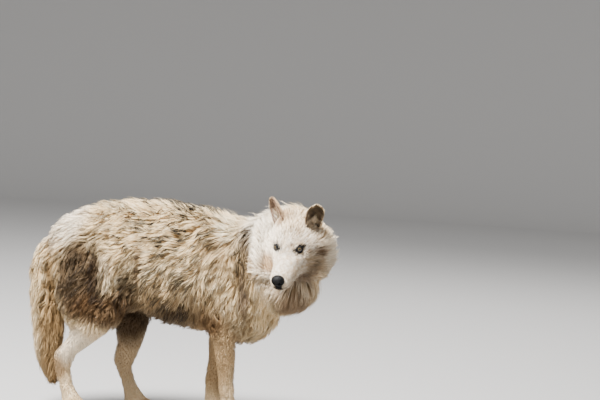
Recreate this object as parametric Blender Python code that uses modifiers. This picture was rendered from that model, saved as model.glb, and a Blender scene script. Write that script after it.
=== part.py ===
"""Arctic wolf, adult, standing with its head turned to its right.

A still, life-size museum model. The body is one form of overlapping lofts that are fused and
smoothed, and then parted with thin cuts into the pieces that a person would name. The outline is
the outline of the coat, out to the tips of the hair.

Frame: metres, +X towards the chest, +Y to the wolf's left, +Z up. The soles stand on Z = 0, and
the origin is below the middle of the model's box.
"""

import math

import bmesh
import bpy
import numpy as np
from mathutils import Matrix, Vector

# ---------------------------------------------------------------- driving dimensions, in metres

BACK_HEIGHT = 0.77  # floor to the hair on the back
CUT = 0.0003  # clear gap between two neighbouring pieces
STANCE = 0.092  # from the middle plane to the middle of a paw
PAW_PARTING = 0.105  # height of the cut between a leg and its paw
FUSE_VOXEL = 0.005  # detail kept where the lofts are fused
COAT_TRIANGLES = 3450  # all the flesh together, before it is parted

EYE_RADIUS = 0.0125
EYE_SIDE = 0.0390  # from the middle plane to the eye's centre
NOSE_PLACE = (0.134, 0.0, -0.039)  # in the head's frame
NOSE_RADII = (0.0175, 0.0220, 0.0180)
EAR_HEIGHT = 0.108
EAR_HALF_WIDTH = 0.031
EAR_THICKNESS = 0.010
EAR_CUP = 0.026  # how far the back of the ear bulges at its root
EAR_ROOT = 0.022  # how deep the ear is let into the head
EAR_PLACE = {-1: (-0.088, -0.056, 0.047), 1: (-0.088, 0.069, 0.048)}  # right and left ear
EAR_TAPER = {-1: 3, 1: 6}  # low for a pointed tip, high for a round one
EAR_TURN = math.radians(28)  # the hollow, from forward to outward
EAR_NOD = {-1: math.radians(-12), 1: math.radians(6)}  # the tip, forward
EAR_LEVELS = 8
EAR_ARC_POINTS = 7
EAR_LEAN = {-1: math.radians(14), 1: math.radians(16)}  # outwards, right and left
CLAW_LENGTH = 0.024
CLAW_RADIUS = 0.0042
CLAW_ROOT = (0.017, 0.0, -0.003)  # from a toe's centre to its claw's root

# The head's own frame: its origin is the point between the eyes.
HEAD_ORIGIN = Vector((0.481, -0.231, 0.652))
HEAD_YAW = math.radians(-99)  # about +Z, from +X to where the nose points
HEAD_PITCH = math.radians(32)  # the nose below the level

COAT = (0.80, 0.74, 0.62)
IRIS = (0.45, 0.26, 0.08)
NOSE = (0.02, 0.018, 0.018)
HORN = (0.10, 0.08, 0.07)


# ---------------------------------------------------------------- helpers


def clear_scene():
    for old in list(bpy.data.objects):
        bpy.data.objects.remove(old)


def new_collection(name, hidden=False):
    made = bpy.data.collections.new(name)
    made.hide_render = hidden
    bpy.context.scene.collection.children.link(made)
    return made


def material(name, colour, roughness, metallic=0.0):
    made = bpy.data.materials.new(name)
    made.use_nodes = True
    shader = made.node_tree.nodes["Principled BSDF"]
    shader.inputs["Base Color"].default_value = (*colour, 1.0)
    shader.inputs["Roughness"].default_value = roughness
    shader.inputs["Metallic"].default_value = metallic
    return made


def object_from(name, form, collection):
    """A new object in the collection, from a bmesh, which is freed."""
    mesh = bpy.data.meshes.new(name)
    bmesh.ops.recalc_face_normals(form, faces=form.faces)
    form.to_mesh(mesh)
    form.free()
    made = bpy.data.objects.new(name, mesh)
    collection.objects.link(made)
    return made


def settle(obj):
    """Puts what the object's modifiers make into its mesh, and takes them off."""
    bpy.context.view_layer.update()
    graph = bpy.context.evaluated_depsgraph_get()
    obj.data = bpy.data.meshes.new_from_object(obj.evaluated_get(graph))
    obj.modifiers.clear()
    return obj


def copy_of(obj, name, collection):
    made = bpy.data.objects.new(name, obj.data.copy())
    made.matrix_world = obj.matrix_world.copy()
    collection.objects.link(made)
    return made


def boolean(obj, other, operation):
    step = obj.modifiers.new(operation.title(), "BOOLEAN")
    step.object = other
    step.operation = operation
    step.solver = "EXACT"
    return settle(obj)


def smooth_between(rows, steps):
    """Rows of numbers with more rows put between them, along a Catmull-Rom curve."""
    rows = np.array(rows, float)
    ends = np.vstack([2 * rows[0] - rows[1], rows, 2 * rows[-1] - rows[-2]])
    made = []
    for i in range(len(rows) - 1):
        a, b, c, d = ends[i : i + 4]
        for t in np.arange(steps) / steps:
            made.append(
                0.5 * (2 * b + (c - a) * t + (2 * a - 5 * b + 4 * c - d) * t**2
                       + (3 * b - a - 3 * c + d) * t**3)
            )
    made.append(rows[-1])
    return np.array(made)


def skin_rings(rings):
    """A closed bmesh over rings of the same number of points, each end closed with one face."""
    form = bmesh.new()
    loops = [[form.verts.new(p) for p in ring] for ring in rings]
    count = len(loops[0])
    for low, high in zip(loops, loops[1:]):
        for i in range(count):
            j = (i + 1) % count
            form.faces.new((low[i], low[j], high[j], high[i]))
    form.faces.new(loops[0][::-1])
    form.faces.new(loops[-1])
    return form


def oval(centre, side, up, half_side, above, below, points, square=2.3):
    """A ring with unlike heights above and below its centre, slightly squared."""
    ring = []
    for i in range(points):
        angle = 2 * math.pi * i / points
        c, s = math.cos(angle), math.sin(angle)
        across = math.copysign(abs(c) ** (2 / square), c) * half_side
        rise = math.copysign(abs(s) ** (2 / square), s) * (above if s > 0 else below)
        ring.append(centre + side * across + up * rise)
    return ring


# ---------------------------------------------------------------- body forms


def trunk_form():
    """Rump to chest. A row is x, top of the back, belly line and half width."""
    rows = [
        (-0.425, 0.632, 0.520, 0.040),
        (-0.400, 0.664, 0.440, 0.092),
        (-0.340, 0.704, 0.385, 0.128),
        (-0.230, 0.748, 0.362, 0.148),
        (-0.100, BACK_HEIGHT, 0.358, 0.152),
        (0.040, BACK_HEIGHT - 0.002, 0.338, 0.160),
        (0.170, BACK_HEIGHT - 0.020, 0.310, 0.166),
        (0.270, BACK_HEIGHT - 0.034, 0.280, 0.160),
        (0.350, BACK_HEIGHT - 0.044, 0.285, 0.145),
        (0.415, 0.700, 0.345, 0.112),
        (0.445, 0.640, 0.430, 0.050),
    ]
    side, up = Vector((0, 1, 0)), Vector((0, 0, 1))
    rings = []
    for x, top, low, wide in smooth_between(rows, 3):
        middle = low + 0.54 * (top - low)
        rings.append(
            oval(Vector((x, 0, middle)), side, up, wide, top - middle, middle - low, 28)
        )
    return skin_rings(rings)


def neck_form():
    """Withers to the back of the head, bending to the wolf's right.

    A row is the centre's x, y and z, and the half width, the height above and the depth below."""
    rows = [
        (0.200, 0.000, 0.580, 0.120, 0.125, 0.150),
        (0.300, -0.002, 0.592, 0.142, 0.140, 0.200),
        (0.385, -0.030, 0.606, 0.150, 0.150, 0.225),
        (0.445, -0.085, 0.622, 0.152, 0.164, 0.225),
        (0.480, -0.145, 0.640, 0.144, 0.160, 0.205),
        (0.488, -0.190, 0.646, 0.122, 0.138, 0.165),
    ]
    table = smooth_between(rows, 4)
    up = Vector((0, 0, 1))
    rings = []
    for i, (x, y, z, wide, above, below) in enumerate(table):
        ahead = Vector(table[min(i + 1, len(table) - 1)][:3])
        along = (ahead - Vector(table[max(i - 1, 0)][:3])).normalized()
        side = up.cross(along).normalized()
        rings.append(oval(Vector((x, y, z)), side, along.cross(side), wide, above, below, 28, 2.1))
    return skin_rings(rings)


def tail_form():
    """Hangs from the rump and curls a little forward at its tip.

    A row is the centre's x, y and z, and the half depth and half width."""
    rows = [
        (-0.365, 0.000, 0.640, 0.042, 0.052),
        (-0.405, 0.000, 0.596, 0.044, 0.050),
        (-0.434, 0.002, 0.530, 0.043, 0.048),
        (-0.432, 0.006, 0.430, 0.052, 0.050),
        (-0.408, 0.010, 0.320, 0.064, 0.053),
        (-0.405, 0.012, 0.220, 0.055, 0.047),
        (-0.388, 0.012, 0.135, 0.036, 0.034),
        (-0.366, 0.010, 0.068, 0.012, 0.013),
    ]
    table = smooth_between(rows, 4)
    rings = []
    for i, (x, y, z, deep, wide) in enumerate(table):
        ahead = Vector(table[min(i + 1, len(table) - 1)][:3])
        along = (ahead - Vector(table[max(i - 1, 0)][:3])).normalized()
        side = Vector((0, 1, 0))
        rings.append(
            oval(Vector((x, y, z)), side, along.cross(side), wide, deep, deep, 18, 2.0)
        )
    return skin_rings(rings)


def level_rings(rows, side):
    """A leg as level ovals. A row is z, x, the share of STANCE, half depth and half width."""
    along, across = Vector((1, 0, 0)), Vector((0, 1, 0))
    rings = []
    for z, x, out, deep, wide in smooth_between(rows, 3):
        centre = Vector((x, side * out * STANCE, z))
        rings.append(oval(centre, along, across, deep, wide, wide, 20, 2.1))
    return skin_rings(rings)


# Each leg from the muscle at its root to its sole, which the floor plane trims.
LEG_ROWS = {
    "foreleg_right": [
        (0.600, 0.275, 0.85, 0.080, 0.045),
        (0.500, 0.268, 1.05, 0.092, 0.058),
        (0.420, 0.252, 1.14, 0.076, 0.052),
        (0.360, 0.247, 1.14, 0.058, 0.044),
        (0.300, 0.256, 1.12, 0.044, 0.038),
        (0.220, 0.264, 1.07, 0.034, 0.031),
        (0.160, 0.269, 1.04, 0.030, 0.028),
        (0.125, 0.272, 1.02, 0.031, 0.030),
        (0.085, 0.280, 1.00, 0.028, 0.029),
        (0.050, 0.292, 1.00, 0.040, 0.037),
        (0.022, 0.300, 1.00, 0.048, 0.043),
        (-0.006, 0.300, 1.00, 0.044, 0.038),
    ],
    "foreleg_left": [
        (0.600, 0.262, 0.85, 0.080, 0.045),
        (0.500, 0.246, 1.05, 0.092, 0.058),
        (0.420, 0.217, 1.14, 0.076, 0.052),
        (0.360, 0.206, 1.14, 0.058, 0.044),
        (0.300, 0.202, 1.12, 0.044, 0.038),
        (0.220, 0.197, 1.07, 0.034, 0.031),
        (0.160, 0.189, 1.04, 0.030, 0.028),
        (0.125, 0.186, 1.02, 0.031, 0.030),
        (0.085, 0.189, 1.00, 0.028, 0.029),
        (0.050, 0.200, 1.00, 0.040, 0.037),
        (0.022, 0.208, 1.00, 0.048, 0.043),
        (-0.006, 0.208, 1.00, 0.044, 0.038),
    ],
    "hindleg_right": [
        (0.610, -0.245, 0.85, 0.105, 0.055),
        (0.540, -0.240, 0.98, 0.132, 0.070),
        (0.460, -0.226, 1.10, 0.142, 0.068),
        (0.400, -0.216, 1.14, 0.140, 0.060),
        (0.345, -0.222, 1.14, 0.104, 0.050),
        (0.300, -0.230, 1.12, 0.072, 0.042),
        (0.255, -0.266, 1.08, 0.054, 0.034),
        (0.212, -0.312, 1.04, 0.045, 0.030),
        (0.170, -0.322, 1.02, 0.034, 0.027),
        (0.110, -0.307, 1.00, 0.028, 0.026),
        (0.075, -0.293, 1.00, 0.030, 0.029),
        (0.048, -0.278, 1.00, 0.039, 0.035),
        (0.022, -0.270, 1.00, 0.046, 0.040),
        (-0.006, -0.270, 1.00, 0.042, 0.036),
    ],
    "hindleg_left": [
        (0.610, -0.233, 0.85, 0.105, 0.055),
        (0.540, -0.216, 0.98, 0.132, 0.070),
        (0.460, -0.186, 1.10, 0.132, 0.068),
        (0.400, -0.152, 1.14, 0.112, 0.060),
        (0.345, -0.132, 1.14, 0.080, 0.050),
        (0.295, -0.124, 1.12, 0.060, 0.043),
        (0.240, -0.126, 1.08, 0.049, 0.035),
        (0.188, -0.141, 1.04, 0.043, 0.030),
        (0.150, -0.140, 1.02, 0.034, 0.027),
        (0.110, -0.126, 1.00, 0.029, 0.026),
        (0.075, -0.110, 1.00, 0.031, 0.029),
        (0.048, -0.096, 1.00, 0.039, 0.035),
        (0.022, -0.088, 1.00, 0.046, 0.040),
        (-0.006, -0.088, 1.00, 0.042, 0.036),
    ],
}


def side_of(leg):
    return -1 if leg.endswith("right") else 1


def paw_centre(leg):
    """Middle of the paw on the floor, from the leg's lowest row but one."""
    _, x, out, _, _ = LEG_ROWS[leg][-2]
    return Vector((x, side_of(leg) * out * STANCE, 0.0))


def toe_places(leg):
    """Centres of the four toes. The middle two reach further."""
    centre = paw_centre(leg)
    broad = 1.0 if leg.startswith("fore") else 0.9
    places = []
    for across, ahead in ((-0.033, 0.028), (-0.0125, 0.050), (0.0125, 0.050), (0.033, 0.028)):
        places.append(centre + Vector((ahead * broad, across * broad, 0.020)))
    return places


def toes_form(leg):
    form = bmesh.new()
    for place in toe_places(leg):
        shape = Matrix.Translation(place) @ Matrix.Diagonal((0.028, 0.0135, 0.023, 1.0))
        bmesh.ops.create_uvsphere(form, u_segments=14, v_segments=10, radius=1.0, matrix=shape)
    return form


# ---------------------------------------------------------------- head forms


def head_matrix():
    """Head frame to model frame: its +X is forward, +Y the wolf's left and +Z the brow's up."""
    turn = Matrix.Rotation(HEAD_YAW, 4, "Z") @ Matrix.Rotation(HEAD_PITCH, 4, "Y")
    return Matrix.Translation(HEAD_ORIGIN) @ turn


def head_form():
    """Nape to lips. A row is forward, top, underside and half width, all from between the eyes."""
    rows = [
        (-0.188, 0.054, -0.120, 0.085),
        (-0.154, 0.084, -0.168, 0.126),
        (-0.116, 0.089, -0.186, 0.146),
        (-0.078, 0.081, -0.176, 0.143),
        (-0.044, 0.063, -0.142, 0.113),
        (-0.015, 0.040, -0.120, 0.084),
        (0.012, 0.015, -0.110, 0.064),
        (0.040, 0.000, -0.103, 0.050),
        (0.070, -0.009, -0.097, 0.043),
        (0.100, -0.016, -0.091, 0.039),
        (0.126, -0.024, -0.085, 0.033),
        (0.141, -0.036, -0.075, 0.022),
    ]
    side, up = Vector((0, 1, 0)), Vector((0, 0, 1))
    rings = []
    for ahead, top, low, wide in smooth_between(rows, 4):
        middle = low + 0.45 * (top - low)
        rings.append(
            oval(Vector((ahead, 0, middle)), side, up, wide, top - middle, middle - low, 28, 2.2)
        )
    form = skin_rings(rings)
    bmesh.ops.transform(form, matrix=head_matrix(), verts=form.verts)
    return form


def ear_form(side):
    """A cupped leaf with a rounded tip, its hollow turned forward and outward."""
    rings = []
    for i in range(EAR_LEVELS):
        rise = i / (EAR_LEVELS - 1)
        wide = EAR_HALF_WIDTH * (0.82 + 0.46 * rise - 1.02 * rise ** EAR_TAPER[side])
        bulge = EAR_CUP * (1 - rise) ** 0.7 + 0.004
        wall = EAR_THICKNESS * (1 - 0.55 * rise)
        height = EAR_HEIGHT * rise - EAR_ROOT
        outer = []
        inner = []
        for j in range(EAR_ARC_POINTS):
            t = -1 + 2 * j / (EAR_ARC_POINTS - 1)
            back = bulge * (1 - t * t)
            front = wall * (1.0 - 0.55 * t * t)
            outer.append(Vector((-back, wide * t, height)))
            inner.append(Vector((front - back, (wide - wall * 0.3) * t, height)))
        rings.append(outer + inner[::-1])
    form = skin_rings(rings)
    bmesh.ops.triangulate(form, faces=form.faces)  # the same folds in the ear and in its socket
    turn = Matrix.Rotation(side * EAR_TURN, 4, "Z")
    lean = Matrix.Rotation(-side * EAR_LEAN[side], 4, "X")
    nod = Matrix.Rotation(EAR_NOD[side], 4, "Y")
    place = Matrix.Translation(EAR_PLACE[side])
    bmesh.ops.transform(form, matrix=head_matrix() @ place @ lean @ nod @ turn, verts=form.verts)
    return form


def eye_centre(side):
    return head_matrix() @ Vector((-0.002, side * EYE_SIDE, 0.0))


def ball_form(centre, radii, axes=None, parts=(14, 8)):
    form = bmesh.new()
    turn = axes.to_4x4() if axes else Matrix.Identity(4)
    shape = Matrix.Translation(centre) @ turn @ Matrix.Diagonal((*radii, 1.0))
    bmesh.ops.create_uvsphere(form, u_segments=parts[0], v_segments=parts[1], radius=1.0,
                              matrix=shape)
    return form


def eye_form(side):
    return ball_form(eye_centre(side), (EYE_RADIUS,) * 3)


def nose_form():
    """The bare leather pad on the end of the muzzle."""
    return ball_form(head_matrix() @ Vector(NOSE_PLACE), NOSE_RADII, head_matrix().to_3x3())


def claw_form(root):
    """A short horn cone that curves down from the toe's end."""
    rings = []
    steps = 4
    for i in range(steps + 1):
        t = i / steps
        centre = root + Vector((CLAW_LENGTH * t, 0.0, -0.010 * t * t))
        radius = CLAW_RADIUS * (1 - 0.80 * t)
        along = Vector((CLAW_LENGTH, 0.0, -0.020 * t)).normalized()
        side = Vector((0, 1, 0))
        rings.append(oval(centre, side, along.cross(side), radius * 0.8, radius, radius, 6, 2.0))
    return skin_rings(rings)


# ---------------------------------------------------------------- fusing and thinning


def fused_body(helpers):
    """Trunk, neck, tail, legs, toes and head as one smooth closed form, trimmed to the floor."""
    forms = [trunk_form(), neck_form(), tail_form(), head_form()]
    for leg, rows in LEG_ROWS.items():
        forms.append(level_rings(rows, side_of(leg)))
        forms.append(toes_form(leg))
    joined = bmesh.new()
    for form in forms:
        step = bpy.data.meshes.new("step")
        bmesh.ops.recalc_face_normals(form, faces=form.faces)
        form.to_mesh(step)
        form.free()
        joined.from_mesh(step)
    body = object_from("body", joined, helpers)
    remesh = body.modifiers.new("Fuse", "REMESH")
    remesh.mode = "VOXEL"
    remesh.voxel_size = FUSE_VOXEL
    relax = body.modifiers.new("Relax", "SMOOTH")
    relax.factor = 0.5
    relax.iterations = 6
    return settle(body)


def press(obj, centre, direction, reach):
    """Pushes the surface near a point along a vector, fading out with distance."""
    for vertex in obj.data.vertices:
        near = (vertex.co - centre).length_squared / reach**2
        if near < 6.0:
            vertex.co += direction * math.exp(-near)


def shape_face(body):
    """Sinks the orbits, pinches the muzzle below the eyes and lowers the coat before the ears."""
    turn = head_matrix().to_3x3()
    for side in (-1, 1):
        inward = turn @ Vector((-0.72, -side * 0.60, -0.10)).normalized()
        press(body, eye_centre(side) - inward * 0.012, inward * 0.0065, 0.017)
        below = head_matrix() @ Vector((0.030, side * 0.046, -0.030))
        press(body, below, turn @ Vector((0, -side * 0.004, 0)), 0.026)
        ear_front = head_matrix() @ Vector((-0.060, side * 0.078, 0.072))
        press(body, ear_front, turn @ Vector((-0.010, 0, -0.026)), 0.034)


def thin_out(body):
    """Fewer, larger faces, with the finer ones kept on the head."""
    coarse = body.vertex_groups.new(name="coarse")
    into_head = head_matrix().inverted()
    for vertex in body.data.vertices:
        ahead = (into_head @ vertex.co).x
        near_face = ahead > -0.06 and (vertex.co - HEAD_ORIGIN).length < 0.20
        share = 0.50 if near_face else 0.65 if vertex.co.z < PAW_PARTING else 1.0
        coarse.add([vertex.index], share, "REPLACE")
    bpy.context.view_layer.update()
    triangles = 2 * len(body.data.polygons)
    step = body.modifiers.new("Thin", "DECIMATE")
    step.ratio = COAT_TRIANGLES / triangles
    step.vertex_group = coarse.name
    step.vertex_group_factor = 1.0
    return settle(body)


# ---------------------------------------------------------------- parting with thin cuts


def prism(outline, low, high, helpers, matrix=None, grow=0.0):
    """A closed cutter: an outline in X and Z, run along Y from low to high, and grown all round."""
    points = [Vector(p) for p in outline]
    area = sum(a.x * b.y - b.x * a.y for a, b in zip(points, points[1:] + points[:1]))
    turn = 1 if area > 0 else -1
    grown = []
    for i, point in enumerate(points):
        before = (point - points[i - 1]).normalized()
        after = (points[(i + 1) % len(points)] - point).normalized()
        normals = [Vector((d.y, -d.x)) * turn for d in (before, after)]
        mitre = (normals[0] + normals[1]).normalized()
        grown.append(point + mitre * grow / max(0.3, mitre.dot(normals[0])))
    rings = []
    for y in (low - grow, high + grow):
        rings.append([Vector((p.x, y, p.y)) for p in grown])
    form = skin_rings(rings)
    if matrix:
        bmesh.ops.transform(form, matrix=matrix, verts=form.verts)
    cutter = object_from("cutter", form, helpers)
    cutter.display_type = "WIRE"
    cutter.hide_render = True
    return cutter


def part_off(whole, name, parts, helpers, outline, low, high, matrix=None):
    """Cuts what lies in the prism out of the whole, as a piece of its own, with a clear gap."""
    piece = copy_of(whole, name, parts)
    for obj, operation, grow in ((piece, "INTERSECT", 0.0), (whole, "DIFFERENCE", CUT)):
        cutter = prism(outline, low, high, helpers, matrix, grow)
        boolean(obj, cutter, operation)
        bpy.data.objects.remove(cutter)
    return piece


def bore_for(piece, form, helpers):
    """Takes an inset piece's form, grown by the clear gap, out of the piece that holds it."""
    bmesh.ops.recalc_face_normals(form, faces=form.faces)
    form.normal_update()
    steps = [vertex.normal * vertex.calc_shell_factor() * CUT for vertex in form.verts]
    for vertex, step in zip(form.verts, steps):
        vertex.co += step
    cutter = object_from("socket", form, helpers)
    boolean(piece, cutter, "DIFFERENCE")
    bpy.data.objects.remove(cutter)


def leg_outline(leg, margin=0.020, toe_margin=0.055):
    """Side view of a leg, from its rows: down its front, round the toes and up its back."""
    rows = smooth_between(LEG_ROWS[leg], 2)
    front = [(x + deep + (margin if z > 0.06 else toe_margin), z) for z, x, _, deep, _ in rows]
    back = [(x - deep - margin, z) for z, x, _, deep, _ in rows]
    foot = [(front[-1][0], -0.05), (back[-1][0], -0.05)]
    top = LEG_ROWS[leg][0]
    crown = [(top[1] - 0.5 * top[3], top[0] + 0.03), (top[1] + 0.5 * top[3], top[0] + 0.03)]
    return crown + front[:-1] + foot + back[-2::-1]


def trim_to_floor(body):
    """Flat soles, all at one level."""
    below = [(-1.0, -0.2), (1.0, -0.2), (1.0, 0.0), (-1.0, 0.0)]
    cutter = prism(below, -1.0, 1.0, bpy.data.collections["helpers"])
    boolean(body, cutter, "DIFFERENCE")
    bpy.data.objects.remove(cutter)


# Side views of the cuts. Head and jaw are in the head's frame, the others in the model's.
HEAD_CUT = [(-0.134, 0.25), (-0.134, -0.150), (-0.060, -0.172), (0.000, -0.130), (0.040, -0.112),
            (0.25, -0.112), (0.25, 0.25)]
JAW_CUT = [(0.022, -0.15), (0.022, -0.081), (0.105, -0.070), (0.140, -0.062), (0.20, -0.062),
           (0.20, -0.15)]
NECK_CUT = [(0.225, 0.95), (0.225, 0.74), (0.300, 0.60), (0.420, 0.42), (0.95, 0.42), (0.95, 0.95)]
TAIL_CUT = [(-0.60, 0.652), (-0.428, 0.652), (-0.404, 0.54), (-0.388, 0.47), (-0.364, 0.40),
            (-0.332, 0.34), (-0.332, 0.02), (-0.60, 0.02)]


def shape_body(helpers):
    body = fused_body(helpers)
    shape_face(body)
    thin_out(body)
    trim_to_floor(body)
    return body


def cut_flesh(whole, parts, helpers):
    """Parts the body into head, jaw, neck, tail, legs, paws and trunk."""
    pieces = {}

    def part(name, source, *cut, matrix=None):
        pieces[name] = part_off(source, name, parts, helpers, *cut, matrix=matrix)
        return pieces[name]

    head = part("head", whole, HEAD_CUT, -0.150, 0.2, matrix=head_matrix())
    part("lower_jaw", head, JAW_CUT, -0.062, 0.062, matrix=head_matrix())
    part("neck", whole, NECK_CUT, -0.5, 0.5)
    part("tail", whole, TAIL_CUT, -0.065, 0.075)
    for leg in LEG_ROWS:
        low, high = (-0.40, -0.030) if side_of(leg) < 0 else (0.030, 0.40)
        limb = part(leg, whole, leg_outline(leg), low, high)
        paw_box = [(-1, -0.1), (1, -0.1), (1, PAW_PARTING), (-1, PAW_PARTING)]
        part(leg.replace("leg", "paw"), limb, paw_box, -1, 1)
    pieces["trunk"] = copy_of(whole, "trunk", parts)
    bpy.data.objects.remove(whole)
    return pieces


def set_claws(pieces, parts, helpers):
    """Four claws on each paw, each in a socket of its own."""
    for leg in LEG_ROWS:
        paw = leg.replace("leg", "paw")
        for number, toe in enumerate(toe_places(leg), start=1):
            root = toe + Vector(CLAW_ROOT)
            bore_for(pieces[paw], claw_form(root), helpers)
            name = f"{paw}_claw_{number}"
            pieces[name] = object_from(name, claw_form(root), parts)


def set_face(pieces, parts, helpers):
    """Eyes, ears and the nose pad, each let into the head."""
    for side, word in ((-1, "right"), (1, "left")):
        bore_for(pieces["head"], eye_form(side), helpers)
        bore_for(pieces["head"], ear_form(side), helpers)
        eye, ear = "eye_" + word, "ear_" + word
        pieces[eye] = object_from(eye, eye_form(side), parts)
        pieces[ear] = object_from(ear, ear_form(side), parts)
    for name in ("head", "lower_jaw"):
        bore_for(pieces[name], nose_form(), helpers)
    pieces["nose"] = object_from("nose", nose_form(), parts)


def finish(pieces):
    """Gives each piece its material, and puts the origin below the middle of the model's box."""
    coat = material("coat", COAT, 0.85)
    finishes = {
        "eye": material("eye", IRIS, 0.10),
        "nose": material("nose_leather", NOSE, 0.45),
        "claw": material("claw_horn", HORN, 0.40),
    }
    corners = [vertex.co for piece in pieces.values() for vertex in piece.data.vertices]
    low = Vector([min(c[i] for c in corners) for i in range(3)])
    high = Vector([max(c[i] for c in corners) for i in range(3)])
    shift = Vector((-(low.x + high.x) / 2, -(low.y + high.y) / 2, -low.z))
    for name, piece in pieces.items():
        piece.data.transform(Matrix.Translation(shift))
        piece.data.materials.clear()
        chosen = [made for word, made in finishes.items() if word in name]
        piece.data.materials.append(chosen[0] if chosen else coat)


def build():
    clear_scene()
    parts = new_collection("arctic_wolf")
    helpers = new_collection("helpers", hidden=True)
    pieces = cut_flesh(shape_body(helpers), parts, helpers)
    set_claws(pieces, parts, helpers)
    set_face(pieces, parts, helpers)
    finish(pieces)


build()
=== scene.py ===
"""Arctic wolf, life size and still: skin, eyes, nose, claws and a coat of solid hair locks."""

import math

import bmesh
import bpy
import numpy as np
from mathutils import Matrix, Vector
from mathutils.bvhtree import BVHTree
from mathutils.kdtree import KDTree


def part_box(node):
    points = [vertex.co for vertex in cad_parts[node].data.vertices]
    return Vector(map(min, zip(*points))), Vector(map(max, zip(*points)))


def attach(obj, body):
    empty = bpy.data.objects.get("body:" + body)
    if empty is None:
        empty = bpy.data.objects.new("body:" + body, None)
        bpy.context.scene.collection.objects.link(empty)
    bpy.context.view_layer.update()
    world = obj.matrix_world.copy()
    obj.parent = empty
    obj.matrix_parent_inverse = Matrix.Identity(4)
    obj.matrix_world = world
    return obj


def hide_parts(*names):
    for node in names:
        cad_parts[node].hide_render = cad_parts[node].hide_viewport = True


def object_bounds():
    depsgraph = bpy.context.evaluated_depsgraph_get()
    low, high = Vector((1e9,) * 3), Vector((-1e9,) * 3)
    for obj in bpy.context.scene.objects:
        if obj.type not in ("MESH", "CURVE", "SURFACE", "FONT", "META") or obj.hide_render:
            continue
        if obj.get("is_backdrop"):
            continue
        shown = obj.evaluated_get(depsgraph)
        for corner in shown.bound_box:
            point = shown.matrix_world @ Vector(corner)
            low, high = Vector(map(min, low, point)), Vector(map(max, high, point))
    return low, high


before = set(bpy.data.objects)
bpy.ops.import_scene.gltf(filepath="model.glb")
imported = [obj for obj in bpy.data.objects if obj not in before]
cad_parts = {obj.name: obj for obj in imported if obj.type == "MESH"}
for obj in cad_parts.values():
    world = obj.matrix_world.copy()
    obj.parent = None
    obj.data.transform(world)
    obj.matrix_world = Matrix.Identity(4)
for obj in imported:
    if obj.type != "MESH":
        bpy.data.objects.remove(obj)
cad_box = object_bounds()
bpy.ops.object.select_all(action="DESELECT")

# ---- Camera
# It stands seven metres off, a little above the back, and looks along the animal's right side.
# The head's own axes run ahead along the muzzle, across to its left eye and up through the brow.

NOSE_AHEAD = 0.136  # of the eyes
NOSE_BELOW = 0.039
HEAD_FROM_BODY = Vector((0.4813, -0.2293, 0.6531))  # between the eyes, from below the loins
CAMERA_FROM_BODY = Vector((1.445, -6.796, 1.233))
CAMERA_TURN = [math.radians(angle) for angle in (86.42, -3.35, 8.30)]
LENS = 117.6


def middle(node):
    low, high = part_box(node)
    return (low + high) / 2


brow = (middle("eye_left") + middle("eye_right")) / 2
head_left = (middle("eye_left") - middle("eye_right")).normalized()
to_nose = (middle("nose") - brow).normalized()
nose_drop = math.atan2(NOSE_BELOW, NOSE_AHEAD)
head_ahead = math.cos(nose_drop) * to_nose + math.sin(nose_drop) * to_nose.cross(head_left)
head_up = head_ahead.cross(head_left)
body_origin = brow - HEAD_FROM_BODY

bpy.ops.object.camera_add(location=body_origin + CAMERA_FROM_BODY, rotation=CAMERA_TURN)
camera = bpy.context.object
camera.name = "camera"
camera.data.lens = LENS
camera.data.clip_end = 60.0
bpy.context.scene.camera = camera

# ---- Floor and light
# A pale floor that turns up into a pale wall all round, with large soft lamps inside it. Floor and
# wall are one matt sheet, extruded from the floor's rim.

FLOOR_RADIUS = 11.0
FLOOR_RIM = 0.01
WALL_TURN = 3.0
TURNS = 10  # steps in the turn from floor to wall
WALL_HEIGHT = 7.0

bpy.ops.mesh.primitive_circle_add(vertices=96, radius=FLOOR_RADIUS, fill_type="NGON")
floor = bpy.context.object
floor.name = "floor"
bpy.ops.object.mode_set(mode="EDIT")
bpy.ops.mesh.inset(thickness=FLOOR_RIM)
bpy.ops.mesh.select_all(action="INVERT")
bpy.ops.mesh.select_mode(type="EDGE")
rim = bmesh.from_edit_mesh(floor.data)


def select_rim():
    for edge in rim.edges:
        edge.select_set(edge.is_boundary)


for step in range(TURNS):
    select_rim()
    before, after = (math.pi / 2 * (step + i) / TURNS for i in (0, 1))
    out = WALL_TURN * (math.sin(after) - math.sin(before))
    lift = WALL_TURN * (math.cos(before) - math.cos(after))
    radius = FLOOR_RADIUS + WALL_TURN * math.sin(before)
    bpy.ops.mesh.extrude_region_move(TRANSFORM_OT_translate={"value": (0, 0, lift)})
    bpy.ops.transform.resize(value=((radius + out) / radius,) * 2 + (1,))
select_rim()
bpy.ops.mesh.extrude_region_move(TRANSFORM_OT_translate={"value": (0, 0, WALL_HEIGHT)})
bpy.ops.object.mode_set(mode="OBJECT")
bpy.ops.object.shade_smooth()
floor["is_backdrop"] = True


def new_material(name, values):
    """A material, its node tree and its shader, with the shader's own values set."""
    made = bpy.data.materials.new(name)
    made.use_nodes = True
    shader = made.node_tree.nodes["Principled BSDF"]
    for key, value in values.items():
        shader.inputs[key].default_value = value
    return made, made.node_tree, shader


floor_values = {"Base Color": (0.32, 0.31, 0.30, 1.0), "Roughness": 0.9}
floor.data.materials.append(new_material("pale_floor", floor_values)[0])

LAMP_AIM = Vector((0.0, 0.0, 0.45))  # the middle of the body, from below the loins
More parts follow.
